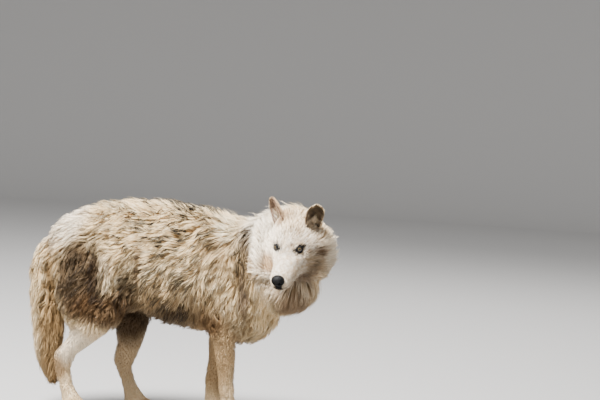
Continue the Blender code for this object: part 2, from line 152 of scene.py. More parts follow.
# Each lamp: place from below the loins, width in metres, watts.
LAMPS = {
    "key_light": ((-1.8, -2.5, 5.7), 2.2, 2600.0),
    "fill_light": ((4.6, -5.0, 2.2), 3.4, 20.0),
    "back_light": ((1.0, 4.4, 4.4), 3.2, 300.0),
}
for name, (offset, size, power) in LAMPS.items():
    place = Vector(offset)
    bpy.ops.object.light_add(type="AREA", location=body_origin + place)
    lamp = bpy.context.object
    lamp.name = name
    lamp.data.size = size
    lamp.data.energy = power
    lamp.rotation_euler = (LAMP_AIM - place).to_track_quat("-Z", "Y").to_euler()

studio = bpy.data.worlds.new("studio")
studio.use_nodes = True
daylight = studio.node_tree.nodes["Background"]
daylight.inputs["Color"].default_value = (0.93, 0.96, 1.0, 1.0)
daylight.inputs["Strength"].default_value = 0.6
bpy.context.scene.world = studio
bpy.ops.object.select_all(action="DESELECT")

# ---- Skin
# One hide over head, neck, trunk, tail and legs, drawn in from the coat's outline by the depth
# of the hair, with the ears grown into it and the folds of the face pressed in.

FLESH = ["head", "lower_jaw", "neck", "trunk", "tail"]
FLESH += [f"{limb}_{side}" for limb in ("foreleg", "hindleg", "forepaw", "hindpaw")
          for side in ("right", "left")]
EARS = ["ear_right", "ear_left"]
EYES = ["eye_right", "eye_left"]
REGIONS = FLESH + EARS
CUT_COVER = 0.0008  # closes the thin cuts between the nodes
FLESH_VOXEL = 0.0040
SKIN_VOXEL = 0.0030
FACES_LEFT = 0.175  # of the skin's faces, after those under the long coat are thinned out


def add_object(name, mesh):
    made = bpy.data.objects.new(name, mesh)
    bpy.context.scene.collection.objects.link(made)
    return made


def copy_joined(names, name):
    """A new object of copies of CAD nodes, with their doubled points merged."""
    joined = bmesh.new()
    for node in names:
        joined.from_mesh(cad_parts[node].data)
    bmesh.ops.remove_doubles(joined, verts=joined.verts, dist=0.00001)
    mesh = bpy.data.meshes.new(name)
    joined.to_mesh(mesh)
    joined.free()
    return add_object(name, mesh)


def apply_modifier(obj, kind, **values):
    bpy.context.view_layer.objects.active = obj
    step = obj.modifiers.new(kind.title(), kind)
    for key, value in values.items():
        setattr(step, key, value)
    bpy.ops.object.modifier_apply(modifier=step.name)


def read_rows(items, field, width, kind=float):
    """A row of numbers for each of a mesh's points, edges, triangles or corners."""
    rows = np.zeros((len(items), width), kind)
    items.foreach_get(field, rows.ravel())
    return rows


def read_points(obj, field="co"):
    return read_rows(obj.data.vertices, field, 3)


def put_points(obj, points):
    obj.data.vertices.foreach_set("co", points.ravel())
    obj.data.update()


def spread(obj, values, rounds):
    """Each point's row of values averaged with its neighbours', several times over."""
    one, other = read_rows(obj.data.edges, "vertices", 2, int).T
    size = len(values)
    count = np.bincount(one, minlength=size) + np.bincount(other, minlength=size)
    count = np.maximum(count, 1)
    values = np.array(values, float)
    for _ in range(rounds):
        for column in values.T:
            total = np.bincount(one, column[other], size) + np.bincount(other, column[one], size)
            column[:] = 0.5 * column + 0.5 * total / count
    return values


def rise(values, low, high):
    """0 at low, 1 at high, and smooth between."""
    t = np.clip((values - low) / (high - low), 0.0, 1.0)
    return t * t * (3.0 - 2.0 * t)


def hump(away, reach):
    """1 where away is 0, falling smoothly to 0 over about twice the reach."""
    return np.exp(-((away / reach) ** 2))


def unit(rows):
    return rows / np.maximum(np.linalg.norm(rows, axis=-1), 1e-9)[..., None]


head_axes = np.array([head_ahead, head_left, head_up])


def in_head(points):
    """Columns ahead, left and up of the point between the eyes."""
    return (points - np.array(brow)) @ head_axes.T


def in_body(points):
    return points - np.array(body_origin)


outline_form = bmesh.new()
outline_region = []
for number, node in enumerate(REGIONS):
    outline_form.from_mesh(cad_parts[node].data)
    outline_region += [number] * (len(outline_form.faces) - len(outline_region))
outline = BVHTree.FromBMesh(outline_form)
outline_form.free()


def measure_outline(obj, rounds):
    """Shares of each point in the CAD nodes, blended over the cuts, and its depth below them."""
    shares = np.zeros((len(obj.data.vertices), len(REGIONS)))
    depths = np.zeros((len(obj.data.vertices), 1))
    for i, vertex in enumerate(obj.data.vertices):
        _, _, face, distance = outline.find_nearest(vertex.co)
        shares[i, outline_region[face]] = 1.0
        depths[i] = distance
    return spread(obj, shares, rounds), depths


def share_of(shares, *words):
    """How far each point belongs to the nodes whose names hold one of the words."""
    return shares[:, [any(word in node for word in words) for node in REGIONS]].sum(1)


def coat_depth(points, shares):
    """How far the skin lies below the coat's outline."""
    ahead, left, up = in_head(points).T
    height = in_body(points)[:, 2]
    face = rise(ahead, -0.065, 0.030)
    side = np.maximum(rise(abs(left), 0.050, 0.095), rise(-up, 0.060, 0.115))
    head = 0.0025 * face + (1 - face) * (0.009 + 0.017 * side)
    foreleg = 0.0050 + 0.013 * rise(height, 0.22, 0.44)
    hindleg = 0.0050 + 0.016 * rise(height, 0.26, 0.46)
    paw = 0.0005 + 0.0025 * rise(height, 0.003, 0.020)
    depths = {
        ("head", "lower_jaw"): head,
        ("ear_",): 0.0022,
        ("neck",): 0.032,
        ("trunk",): 0.025,
        ("tail",): 0.017,
        ("foreleg",): foreleg,
        ("hindleg",): hindleg,
        ("paw",): paw,
    }
    return sum(share_of(shares, *words) * depth for words, depth in depths.items())[:, None]


flesh = copy_joined(FLESH + EYES + EARS, "flesh")  # eyes and ears fill their own sockets
put_points(flesh, read_points(flesh) + CUT_COVER * read_points(flesh, "normal"))
apply_modifier(flesh, "REMESH", mode="VOXEL", voxel_size=FLESH_VOXEL)
apply_modifier(flesh, "SMOOTH", factor=0.5, iterations=10)
for largest in (0.014, 0.011, 0.008):
    shares, reached = measure_outline(flesh, 10)
    wanted = spread(flesh, coat_depth(read_points(flesh), shares), 10)
    step = np.clip(spread(flesh, wanted - reached, 4), 0.0, largest)
    inward = unit(spread(flesh, read_points(flesh, "normal"), 6))
    put_points(flesh, spread(flesh, read_points(flesh) - step * inward, 2))
    apply_modifier(flesh, "REMESH", mode="VOXEL", voxel_size=FLESH_VOXEL)
apply_modifier(flesh, "SMOOTH", factor=0.5, iterations=6)

skin = flesh
skin.name = skin.data.name = "skin"
apply_modifier(skin, "REMESH", mode="VOXEL", voxel_size=SKIN_VOXEL)
apply_modifier(skin, "SMOOTH", factor=0.5, iterations=3)

ahead, left, up = in_head(read_points(skin)).T
points = in_body(read_points(skin))
near_head = rise(-np.hypot(np.hypot(ahead + 0.02, left), up), -0.24, -0.17)
low_down = rise(-points[:, 2], -0.34, -0.22)
keep_fine = np.maximum(near_head, 0.55 * low_down)
coarse = skin.vertex_groups.new(name="coarse")
for level in range(11):
    chosen = np.flatnonzero(np.round(10 * (1 - keep_fine)) == level)
    coarse.add([int(i) for i in chosen], level / 10, "REPLACE")
apply_modifier(skin, "DECIMATE", ratio=FACES_LEFT, vertex_group="coarse", vertex_group_factor=1.0)

ears = copy_joined(EARS, "ears")
apply_modifier(ears, "SUBSURF", levels=2, render_levels=2)
apply_modifier(skin, "BOOLEAN", object=ears, operation="UNION", solver="EXACT")
bpy.data.objects.remove(ears)

TOE_REACH = 0.045  # how far back from the claws the grooves between the toes run
TOE_GROOVE = 0.0085
TOE_GROOVE_HALF = 0.0045
FACE_FINE = 0.112  # reach of each finer step in the skin, from the cheeks in to the lids
MUZZLE_FINE = 0.034
EYE_FINE = 0.024
LID_FINE = 0.0175
EYE_SIDE = (middle("eye_left") - middle("eye_right")).length / 2
EYE_RADIUS = (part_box("eye_left")[1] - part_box("eye_left")[0]).z / 2


def subdivide_where(obj, chosen):
    """Halves the faces whose points are all chosen."""
    faces = np.array([all(chosen[i] for i in face.vertices) for face in obj.data.polygons])
    for items in (obj.data.vertices, obj.data.edges):
        items.foreach_set("select", np.zeros(len(items), bool))
    obj.data.polygons.foreach_set("select", faces)
    bpy.context.view_layer.objects.active = obj
    bpy.ops.object.mode_set(mode="EDIT")
    bpy.ops.mesh.select_mode(type="FACE")
    bpy.ops.mesh.subdivide(number_cuts=1)
    bpy.ops.object.mode_set(mode="OBJECT")


def from_eyes(points):
    """Distance of each point, in head columns, from the nearer eye."""
    return np.linalg.norm(points - np.sign(points[:, 1:2]) * [0.0, EYE_SIDE, 0.0], axis=1)


claw_places = {
    paw: sorted((middle(f"{paw}_claw_{toe}") for toe in (1, 2, 3, 4)), key=lambda claw: claw.y)
    for paw in ("forepaw_right", "forepaw_left", "hindpaw_right", "hindpaw_left")
}
points = read_points(skin)
toe_end = np.zeros(len(points), bool)
for claw in claw_places.values():
    centre = np.array((claw[1] + claw[2]) / 2)
    away = points - centre
    toe_end |= (np.abs(away[:, 1]) < 0.034) & (away[:, 0] > -0.034) & (points[:, 2] < 0.046)
subdivide_where(skin, toe_end & (points[:, 2] > 0.006))
points = read_points(skin)
normals = read_points(skin, "normal")
for claw in claw_places.values():
    for one, other in zip(claw, claw[1:]):
        groove_at = (one + other) / 2
        groove = hump(points[:, 1] - groove_at.y, TOE_GROOVE_HALF)
        groove *= rise(points[:, 0] - groove_at.x, -TOE_REACH, -0.4 * TOE_REACH)
        groove *= rise(-np.abs(points[:, 0] - groove_at.x), -0.070, -0.050)
        groove *= rise(-points[:, 2], -0.062, -0.045) * rise(points[:, 2], 0.001, 0.008)
        points -= TOE_GROOVE * groove[:, None] * normals
put_points(skin, points)

faced = in_head(read_points(skin))
lower_face = np.linalg.norm(faced - [0.06, 0.0, -0.04], axis=1)
subdivide_where(skin, lower_face < FACE_FINE)
faced = in_head(read_points(skin))
muzzle_end = np.linalg.norm(faced - [0.125, 0.0, -0.055], axis=1)
subdivide_where(skin, (from_eyes(faced) < EYE_FINE) | (muzzle_end < MUZZLE_FINE))
faced = in_head(read_points(skin))
before_eye = (faced @ [0.78, 0.0, 0.26] + 0.52 * (np.abs(faced[:, 1]) - EYE_SIDE)) > 0.0055
subdivide_where(skin, (from_eyes(faced) < LID_FINE) & before_eye)

# The face is pushed into shape in the head's own axes. A row is a place on the animal's left, a
# move and how far the move reaches; it is mirrored to the right.
FACE_PUSHES = [
    ((0.000, 0.029, 0.022), (0.0024, 0.0, 0.0034), 0.012),  # brow over the inner eye
    ((-0.006, 0.050, 0.018), (0.0020, 0.0014, 0.0022), 0.013),  # outer brow
    ((0.006, 0.000, 0.022), (0.0, 0.0, -0.0016), 0.011),  # furrow between the brows
    ((0.026, 0.026, -0.010), (-0.0010, -0.0012, -0.0012), 0.011),  # hollow before the eye
    ((0.020, 0.049, -0.026), (0.0012, 0.0016, 0.0), 0.013),  # cheekbone
    ((0.060, 0.040, -0.040), (0.0, -0.0018, 0.0), 0.018),  # cheek drawn in behind the lips
    ((0.108, 0.034, -0.052), (0.0, 0.0022, -0.0004), 0.015),  # whisker pad
    ((0.085, 0.012, -0.012), (0.0, 0.0008, 0.0), 0.014),  # side of the nose bridge
    ((0.124, 0.020, -0.080), (0.0, -0.0012, 0.0012), 0.012),  # narrow chin
    ((0.136, 0.010, -0.058), (0.0060, 0.0010, -0.0008), 0.014),  # lip under the nose
    ((0.126, 0.012, -0.024), (0.0030, 0.0010, 0.0016), 0.012),  # bridge up to the nose
]
MOUTH = ((0.030, 0.107, 0.142), (-0.083, -0.0715, -0.0640))  # ahead, and up, along the lip's edge
LIP_GROOVE = 0.0030
LIP_SIDE = 0.0008

shaped = in_head(read_points(skin))
for place, move, reach in FACE_PUSHES:
    for side in (1, -1) if place[1] else (1,):
        away = shaped - np.array(place) * [1, side, 1]
        near = np.exp(-(away**2).sum(1) / reach**2)[:, None]
        shaped += near * np.array(move) * [1, side, 1]

ahead, left, up = shaped.T
normal = read_points(skin, "normal") @ head_axes.T
from_lip = up - np.interp(ahead, *MOUTH)
along_mouth = rise(ahead, 0.022, 0.040) * rise(-np.hypot(ahead - 0.06, left), -0.12, -0.10)
on_lip = along_mouth * rise(-normal[:, 2], -0.75, -0.30)
groove = on_lip * hump(from_lip, 0.0022)
upper_lip = on_lip * hump(from_lip - 0.0055, 0.0040)
lower_lip = on_lip * rise(-from_lip, 0.001, 0.006) * rise(from_lip, -0.034, -0.020)
shaped -= normal * (LIP_GROOVE * groove + 0.0016 * lower_lip - LIP_SIDE * upper_lip)[:, None]
# Black lip, and painted shadow of the mouth under the nose, on the front of the chin.
lip_front_and_shadow = hump(ahead - 0.140, 0.016) * hump(left, 0.018)
lip_front_and_shadow *= rise(-from_lip, -0.016, -0.009)
lip_front_and_shadow *= rise(from_lip, -0.013, -0.007)
lip_dark_and_shadow = np.maximum(on_lip * hump(from_lip, 0.0030), lip_front_and_shadow)

# Lids: the skin is wrapped over each eyeball and opens in a slanted almond.
LID_AXIS = Vector((0.78, 0.52, 0.26)).normalized()  # out through the middle of the left opening
LID_SLANT = math.radians(10)
LID_HALF_LENGTH = 0.0145
LID_ABOVE, LID_BELOW = 0.0087, 0.0072
LID_THICK = 0.0014
LID_BLEND = 0.0105
LID_REACH = 0.034  # from the eye's middle
lid_dark = np.zeros(len(shaped))
bare = np.zeros(len(shaped))
for side in (1, -1):
    axis = np.array(LID_AXIS) * [1, side, 1]
    outer = np.array([-0.60, 0.72 * side, 0.0])
    outer -= outer.dot(axis) * axis
    outer /= np.linalg.norm(outer)
    over = np.cross(axis, outer) * side
    across = math.cos(LID_SLANT) * outer + math.sin(LID_SLANT) * over
    over = math.cos(LID_SLANT) * over - math.sin(LID_SLANT) * outer
    reach = shaped - [0.0, side * EYE_SIDE, 0.0]
    radius = np.linalg.norm(reach, axis=1)
    ray = reach / radius[:, None]
    out = ray @ axis
    x = np.arctan2(ray @ across, out) * EYE_RADIUS
    y = np.arctan2(ray @ over, out) * EYE_RADIUS
    height = np.where(y > 0, LID_ABOVE, LID_BELOW)
    beyond = np.maximum(np.abs(x) - LID_HALF_LENGTH, 0.0)
    within = np.minimum(np.abs(x) / LID_HALF_LENGTH, 1.0)
    gap = np.abs(y) - height * (1 - within**2)
    gap /= np.sqrt(1 + (2 * height * within / LID_HALF_LENGTH) ** 2)
    gap = np.where(beyond > 0, np.hypot(beyond, gap), gap)
    facing = (out > 0.12) & (radius < LID_REACH)
    rim = EYE_RADIUS + LID_THICK
    outside = rim + (np.maximum(radius, rim) - rim) * rise(gap, 0.0015, LID_BLEND)
    crease = 0.0006 * hump(gap - 0.0044, 0.0012) * (y > 0)
    inside = EYE_RADIUS - 0.0030
    lidded = np.where(gap > 0, outside - crease, inside + (rim - inside) * rise(gap, -0.0010, 0.0))
    blend = np.where(facing, rise(out, 0.12, 0.40), 0.0)
    shaped = np.where(facing[:, None],
                      [0.0, side * EYE_SIDE, 0.0]
                      + ray * (radius + blend * (lidded - radius))[:, None], shaped)
    tear = np.hypot((x + LID_HALF_LENGTH + 0.0035) / 0.0080, y / 0.0032)
    corner = np.hypot((x - LID_HALF_LENGTH - 0.0030) / 0.0060, y / 0.0026)
    lid_edge = gap - 0.0022 * (y > 0)
    line = 1 - rise(lid_edge, 0.0040, 0.0070)
    line = np.maximum(line, 1 - rise(np.minimum(tear, corner), 0.8, 1.4))
    lid_dark = np.maximum(lid_dark, line * facing)
    bare = np.maximum(bare, (1 - rise(gap, 0.0018, 0.0032)) * facing)
shaped = np.array(brow) + shaped @ head_axes
shaped[:, 2] = np.maximum(shaped[:, 2], 0.0)  # the soles are flat on the floor
put_points(skin, shaped)


def select_only(obj):
    bpy.ops.object.select_all(action="DESELECT")
    obj.select_set(True)
    bpy.context.view_layer.objects.active = obj


select_only(skin)
bpy.ops.object.shade_smooth()
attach(skin, "root")
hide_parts(*FLESH, *EARS)

# ---- Eyes
# Full balls with a raised cornea, an amber-grey iris and a round pupil, under a wet gloss. Each
# sits in the skin's opening between the lids, turned a little towards the camera.

GAZE_SHARE = 0.62  # of the way from straight out of the lids to the camera
IRIS_ANGLE = math.radians(37)
CORNEA_RISE = 0.0008
head_turn = Matrix((head_ahead, head_left, head_up)).transposed()

for word, side in (("right", -1), ("left", 1)):
    straight = head_turn @ Vector((LID_AXIS.x, side * LID_AXIS.y, LID_AXIS.z))
    to_camera = (camera.location - middle("eye_" + word)).normalized()
    gaze = straight.lerp(to_camera, GAZE_SHARE).normalized()
    bpy.ops.mesh.primitive_uv_sphere_add(
        segments=64, ring_count=40, radius=EYE_RADIUS, location=middle("eye_" + word),
        rotation=gaze.to_track_quat("Z", "Y").to_euler(),
    )
    eyeball = bpy.context.object
    eyeball.name = eyeball.data.name = "eyeball_" + word
    for vertex in eyeball.data.vertices:
        angle = vertex.co.angle(Vector((0, 0, 1)), 0.0)
        if angle < IRIS_ANGLE:
            vertex.co *= 1 + CORNEA_RISE / EYE_RADIUS * math.cos(angle / IRIS_ANGLE * math.pi / 2)
    bpy.ops.object.transform_apply(location=True, rotation=True, scale=True)
    bpy.ops.object.shade_smooth()
    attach(eyeball, "root")
    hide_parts("eye_" + word)


def add_node(tree, kind, **settings):
    node = tree.nodes.new(kind)
    for key, value in settings.items():
        setattr(node, key, value)
    return node


def by_ramp(tree, source, stops):
    """Colours that a value picks from a ramp of (place, (r, g, b)) stops."""
    node = add_node(tree, "ShaderNodeValToRGB")
    elements = node.color_ramp.elements
    while len(elements) < len(stops):
        elements.new(0.5)
    for element, (place, colour) in zip(elements, stops):
        element.position = place
        element.color = (*colour, 1.0)
    tree.links.new(source, node.inputs["Fac"])
    return node.outputs["Color"]


def noise_value(tree, place, scale, detail=2.0, output="Fac"):
    node = add_node(tree, "ShaderNodeTexNoise")
    node.inputs["Scale"].default_value = scale
    node.inputs["Detail"].default_value = detail
    tree.links.new(place, node.inputs["Vector"])
    return node.outputs[output]


def feed(tree, socket, value):
    """Links a socket to another node's output, or sets it to a number, a place or a colour."""
    if isinstance(value, bpy.types.NodeSocket):
        tree.links.new(value, socket)
    else:
        socket.default_value = (*value, 1.0) if socket.type == "RGBA" else value


def mix_colour(tree, factor, one, other, blend="MIX"):
    node = add_node(tree, "ShaderNodeMix", data_type="RGBA", blend_type=blend)
    for name, value in (("Factor", factor), ("A", one), ("B", other)):
        feed(tree, node.inputs[name], value)
    return node.outputs["Result"]


# The ball's own map runs to 1 at the front pole, so 1 - v is the angle from the pupil's middle.
eye_finish, tree, shader = new_material("wolf_eye", {
    "Roughness": 0.12, "Specular IOR Level": 0.25, "Coat Weight": 0.45, "Coat Roughness": 0.03,
})
ball_map = add_node(tree, "ShaderNodeUVMap", uv_map="UVMap")
parts = add_node(tree, "ShaderNodeSeparateXYZ")
tree.links.new(ball_map.outputs["UV"], parts.inputs["Vector"])
rings = by_ramp(tree, parts.outputs["Y"], [
    (0.000, (0.50, 0.47, 0.43)),
    (0.560, (0.12, 0.08, 0.06)),
    (0.740, (0.010, 0.007, 0.005)),
    (0.840, (0.006, 0.005, 0.004)),
    (0.862, (0.050, 0.032, 0.012)),
    (0.890, (0.150, 0.110, 0.050)),
    (0.905, (0.100, 0.070, 0.028)),
    (0.916, (0.006, 0.005, 0.004)),
    (0.924, (0.002, 0.002, 0.002)),
])
fibre_map = add_node(tree, "ShaderNodeMapping")
fibre_map.inputs["Scale"].default_value = (60.0, 6.0, 1.0)
tree.links.new(ball_map.outputs["UV"], fibre_map.inputs["Vector"])
fibres = noise_value(tree, fibre_map.outputs["Vector"], 1.0, 3.0)
fibre_tone = by_ramp(tree, fibres, [(0.30, (0.62, 0.62, 0.62)), (0.70, (1.25, 1.25, 1.25))])
eye_colour = mix_colour(tree, 1.0, rings, fibre_tone, "MULTIPLY")
tree.links.new(eye_colour, shader.inputs["Base Color"])
for word in ("right", "left"):
    bpy.data.objects["eyeball_" + word].data.materials.append(eye_finish)

# ---- Nose
# A bare pad of black pebbled leather with comma nostrils and a groove down to the lip. It is
# shaped from one ball and set into the end of the muzzle.

NOSE_HALF = Vector((0.0190, 0.0228, 0.0200))
NOSTRIL_SIDE = 0.0090

bpy.ops.mesh.primitive_uv_sphere_add(segments=96, ring_count=64, radius=1.0)
nose = bpy.context.object
nose.name = nose.data.name = "nose_pad"
pad = read_points(nose)
ahead, left, up = pad[:, 2].copy(), pad[:, 0].copy(), pad[:, 1].copy()  # its pole points ahead
shape = np.column_stack([ahead, left, up]) * NOSE_HALF
shape[:, 1] *= 1 + 0.10 * up
shape[:, 0] -= 0.0022 * rise(-up, 0.0, 1.0)
front = rise(ahead, 0.05, 0.45)
for side in (1, -1):
    hole = np.hypot((shape[:, 1] - side * NOSTRIL_SIDE) / 0.0036, (shape[:, 2] - 0.0004) / 0.0034)
    slit = np.hypot((shape[:, 1] - side * 0.0148) / 0.0044, (shape[:, 2] + 0.0036) / 0.0015)
    shape[:, 0] -= front * (0.0085 * hump(hole, 1) + 0.0040 * hump(slit, 1))
    wing = np.hypot((shape[:, 1] - side * 0.0100) / 0.0075, (shape[:, 2] - 0.0002) / 0.0070)
    shape[:, 0] += front * 0.0012 * hump(wing - 1.0, 0.28)
shape[:, 0] -= front * 0.0018 * hump(shape[:, 1], 0.0011) * rise(-up, -0.5, 0.1)
put_points(nose, np.array(middle("nose")) + shape @ head_axes)
bpy.ops.object.mode_set(mode="EDIT")
bpy.ops.mesh.select_all(action="SELECT")
bpy.ops.mesh.normals_make_consistent(inside=False)
bpy.ops.object.mode_set(mode="OBJECT")
bpy.ops.object.shade_smooth()
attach(nose, "root")
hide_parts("nose")


def raise_bumps(tree, shader, height, strength, distance):
    node = add_node(tree, "ShaderNodeBump")
    node.inputs["Strength"].default_value = strength
    node.inputs["Distance"].default_value = distance
    tree.links.new(height, node.inputs["Height"])
    tree.links.new(node.outputs["Normal"], shader.inputs["Normal"])


nose_finish, tree, shader = new_material("nose_leather", {
    "Roughness": 0.50, "Specular IOR Level": 0.10, "Coat Weight": 0.02, "Coat Roughness": 0.30,
})
place = add_node(tree, "ShaderNodeTexCoord")
pebbles = add_node(tree, "ShaderNodeTexVoronoi", feature="DISTANCE_TO_EDGE")
pebbles.inputs["Scale"].default_value = 850.0
tree.links.new(place.outputs["Object"], pebbles.inputs["Vector"])
mottle = noise_value(tree, place.outputs["Object"], 140.0)
nose_tone = by_ramp(tree, mottle, [(0.35, (0.002, 0.002, 0.002)), (0.65, (0.006, 0.0055, 0.0055))])
tree.links.new(nose_tone, shader.inputs["Base Color"])
grain = by_ramp(tree, pebbles.outputs["Distance"], [(0.0, (0, 0, 0)), (0.22, (1, 1, 1))])
raise_bumps(tree, shader, grain, 0.5, 0.0004)
nose.data.materials.append(nose_finish)

# ---- Claws
# Sixteen worn claws of dark streaked horn, four to a paw, each rooted in its toe. They are one
# joined piece.

CLAWS = sorted(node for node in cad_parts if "_claw_" in node)
claws = copy_joined(CLAWS, "claws")
apply_modifier(claws, "SUBSURF", levels=2, render_levels=2)
select_only(claws)
bpy.ops.object.shade_smooth()
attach(claws, "root")
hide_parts(*CLAWS)

claw_finish, tree, shader = new_material("claw_horn", {"Roughness": 0.36})
place = add_node(tree, "ShaderNodeTexCoord")
stretch = add_node(tree, "ShaderNodeMapping")
stretch.inputs["Scale"].default_value = (60.0, 900.0, 500.0)
tree.links.new(place.outputs["Object"], stretch.inputs["Vector"])
streaks = noise_value(tree, stretch.outputs["Vector"], 1.0, 4.0)
horn_tone = by_ramp(tree, streaks, [(0.30, (0.030, 0.024, 0.020)), (0.70, (0.150, 0.120, 0.095))])
tree.links.new(horn_tone, shader.inputs["Base Color"])
raise_bumps(tree, shader, streaks, 0.35, 0.0003)
claws.data.materials.append(claw_finish)

# ---- Markings
# Cream guard hair over the body, white face, rump and legs, brown haunches and belly, and tan on
# the neck and inner tail. Painted shade is laid on as colour too: on the belly, lower flank,
# throat, far hind leg, front of the tail, the side of the head turned from the key light, the ear
# hollows and the mouth under the nose. Skin and coat read the same group, by the place of the
# hair's root.

skin_points = read_points(skin)
skin_normals = read_points(skin, "normal")
shares, gap_below = measure_outline(skin, 4)
ear_share = spread(skin, share_of(shares, "ear_")[:, None], 1)[:, 0]
ear_front = np.array(head_ahead + 0.2 * head_up)
ear_front /= np.linalg.norm(ear_front)
# The ear hollows, which take a dark inner colour with painted shade.
hollow = ear_share * rise(skin_normals @ ear_front, 0.15, 0.50)
hollow = spread(skin, hollow[:, None], 2)[:, 0]
# The dark line holds the black lids and lips, and the painted shadow under the nose.
dark_line = np.maximum(lid_dark, 0.85 * lip_dark_and_shadow)


def store(obj, name, values, kind="FLOAT"):
    values = np.ascontiguousarray(values, np.float32)
    made = obj.data.attributes.new(name, kind, "POINT")
    made.data.foreach_set("value" if kind == "FLOAT" else "vector", values.ravel())


store(skin, "root", skin_points, "FLOAT_VECTOR")
store(skin, "ear_hollow", hollow)
store(skin, "dark_line", dark_line)


def body_place(x, y, z):
    return body_origin + Vector((x, y, z))


def head_place(ahead, left, up):
    return brow + ahead * head_ahead + left * head_left + up * head_up


# The coat's colours and its painted shade, from the palest to the darkest.
IVORY, WHITE, CREAM = (0.950, 0.840, 0.600), (0.890, 0.790, 0.640), (0.840, 0.670, 0.440)
SAND, FAWN, TAN = (0.560, 0.390, 0.210), (0.460, 0.310, 0.160), (0.340, 0.195, 0.080)
YELLOW, SHADE, GREY = (0.310, 0.195, 0.085), (0.270, 0.155, 0.066), (0.210, 0.150, 0.100)
# The dun below is painted shadow, for the throat under the head.
SHADOW_DUN, BROWN, UMBER = (0.190, 0.120, 0.068), (0.112, 0.056, 0.021), (0.078, 0.043, 0.019)
DARK = (0.060, 0.035, 0.016)
# Each patch: middle, half sizes, colour, strength and how far its edge is soft.
BODY_PATCHES = {
    "rump": ((-0.36, 0.0, 0.68), (0.12, 0.20, 0.12), WHITE, 0.9, 0.8),
    "shoulder": ((0.23, 0.0, 0.60), (0.10, 0.30, 0.13), SAND, 0.55, 1.0),
    # Painted shade: the lower flank darker, where the side turns down away from the light.
    "flank_low_shade": ((0.06, 0.0, 0.42), (0.30, 0.30, 0.095), SHADE, 0.60, 1.0),
    # Brown belly, darkened further with painted shade under the body.
    "belly_brown_shade": ((0.12, 0.0, 0.350), (0.24, 0.24, 0.098), DARK, 0.95, 0.9),
    "legs": ((-0.04, 0.0, 0.18), (0.50, 0.40, 0.17), CREAM, 0.8, 0.5),
    "shank": ((-0.28, -0.13, 0.24), (0.09, 0.08, 0.07), WHITE, 0.8, 0.8),
    "forelegs": ((0.21, 0.0, 0.25), (0.11, 0.40, 0.19), FAWN, 0.95, 0.7),
    # Painted shade on the far hind shank.
    "far_shank_shade": ((-0.12, 0.10, 0.20), (0.10, 0.14, 0.14), SHADE, 0.50, 0.9),
    "haunch_back": ((-0.265, -0.15, 0.49), (0.095, 0.15, 0.15), UMBER, 0.92, 0.7),
    "haunch_low": ((-0.17, -0.15, 0.385), (0.14, 0.13, 0.070), BROWN, 0.92, 0.8),
    "haunch_front": ((-0.10, -0.15, 0.46), (0.055, 0.12, 0.090), DARK, 0.85, 0.9),
    "haunch_line": ((-0.215, -0.16, 0.50), (0.024, 0.11, 0.095), DARK, 0.88, 0.9),
    "haunch_far": ((-0.20, 0.16, 0.46), (0.16, 0.13, 0.13), BROWN, 0.85, 0.8),
    # Dark coat and painted shade on the far thigh, under the body.
    "thigh_far_dark_shade": ((-0.13, 0.06, 0.34), (0.12, 0.14, 0.11), DARK, 0.97, 0.8),
    "flank_fold": ((-0.055, -0.15, 0.55), (0.016, 0.10, 0.110), BROWN, 0.9, 1.0),
    "haunch_pale": ((-0.172, -0.17, 0.53), (0.027, 0.10, 0.075), CREAM, 0.80, 0.9),
    "neck_pale": ((0.39, -0.10, 0.68), (0.09, 0.26, 0.15), WHITE, 0.95, 0.8),
    "neck_tan": ((0.322, -0.17, 0.56), (0.042, 0.12, 0.16), YELLOW, 0.85, 0.9),
    "neck_dark": ((0.318, -0.15, 0.47), (0.022, 0.10, 0.12), GREY, 0.85, 1.0),
    # Painted shadow on the throat under the head.
    "throat_shadow": ((0.51, -0.18, 0.465), (0.09, 0.12, 0.065), SHADOW_DUN, 0.90, 0.9),
    "shoulder_white": ((0.25, -0.12, 0.70), (0.05, 0.12, 0.07), IVORY, 0.9, 1.0),
    "tail_inner": ((-0.372, -0.02, 0.32), (0.056, 0.12, 0.32), YELLOW, 0.95, 0.6),
    # Painted shade on the front of the tail, between it and the haunch.
    "tail_front_shade": ((-0.335, -0.02, 0.33), (0.030, 0.10, 0.16), BROWN, 0.8, 0.8),
    "hock": ((-0.34, -0.12, 0.16), (0.040, 0.07, 0.050), TAN, 0.7, 0.8),
    "elbow": ((0.20, -0.12, 0.36), (0.065, 0.11, 0.055), BROWN, 0.85, 0.9),
}
